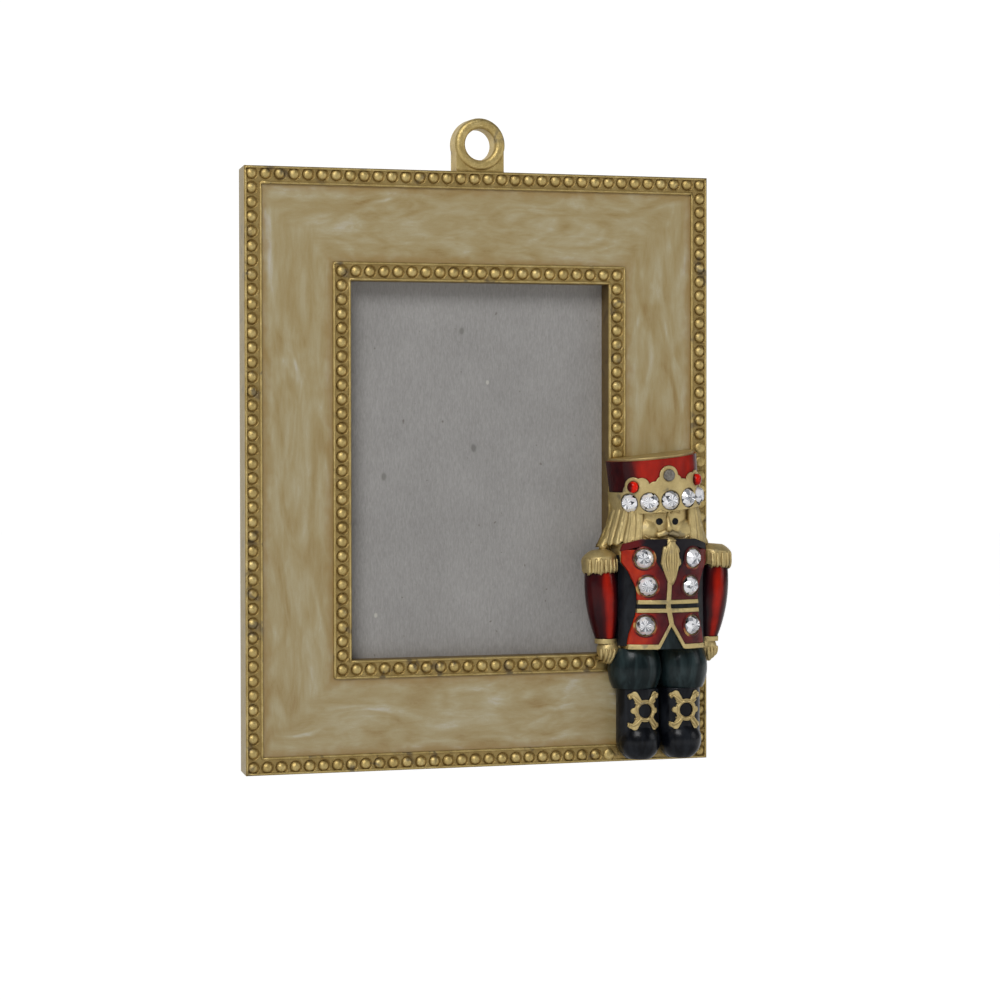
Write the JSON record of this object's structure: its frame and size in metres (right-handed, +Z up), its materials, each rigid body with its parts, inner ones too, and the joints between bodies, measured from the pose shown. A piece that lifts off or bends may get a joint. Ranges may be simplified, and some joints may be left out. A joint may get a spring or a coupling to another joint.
{
  "type": "miniature picture frame",
  "caption": "Small gilt metal picture frame with a loop to hang it by, pearl enamel border, beaded rims and a toy soldier in red and black enamel with crystals on the right rail.",
  "frame": {"origin": "centre of the hanging loop's bore, halfway through its thickness", "axes": "+Z up, -Y towards the viewer of the picture, +X to the viewer's right; the bore runs along Y"},
  "size_m": [0.0522, 0.0089, 0.0667],
  "materials": {
    "gilt_metal": "antique matte gold plating with darker tarnish in the hollows",
    "pearl_enamel": "glossy pearl beige enamel with swirled streaks",
    "grey_card": "matte grey card with fine fibres",
    "old_cement": "dull grey cement left in an empty cup",
    "crystal": "clear foil-backed cut crystal",
    "red_enamel": "glossy transparent red enamel, darker towards its edges",
    "green_black_enamel": "glossy green-black enamel",
    "black_enamel": "glossy black enamel"
  },
  "bodies": {
    "root": {"casting": "gilt_metal", "field_enamel": "pearl_enamel", "backing_card": "grey_card", "hat_enamel": "red_enamel", "badge_drop_left": "red_enamel", "badge_drop_right": "red_enamel", "badge_cement": "old_cement", "hat_stone_1": "crystal", "hat_stone_2": "crystal", "hat_stone_3": "crystal", "hat_stone_4": "crystal", "hat_stone_5": "crystal", "eye_left": "black_enamel", "eye_right": "black_enamel", "collar_enamel_left": "black_enamel", "collar_enamel_right": "black_enamel", "coat_upper_left": "red_enamel", "coat_upper_right": "red_enamel", "coat_lower_left": "red_enamel", "coat_lower_right": "red_enamel", "side_enamel_left": "black_enamel", "side_enamel_right": "black_enamel", "vest_enamel": "green_black_enamel", "belt_enamel_left": "black_enamel", "belt_enamel_right": "black_enamel", "coat_stone_left_1": "crystal", "coat_stone_left_2": "crystal", "coat_stone_left_3": "crystal", "coat_stone_right_1": "crystal", "coat_stone_right_2": "crystal", "coat_stone_right_3": "crystal", "sleeve_enamel_left": "red_enamel", "sleeve_enamel_right": "red_enamel", "trouser_enamel": "green_black_enamel", "boot_enamel_left": "black_enamel", "boot_enamel_right": "black_enamel", "bow_drop_left": "black_enamel", "bow_drop_right": "black_enamel"}
  },
  "joints": []
}
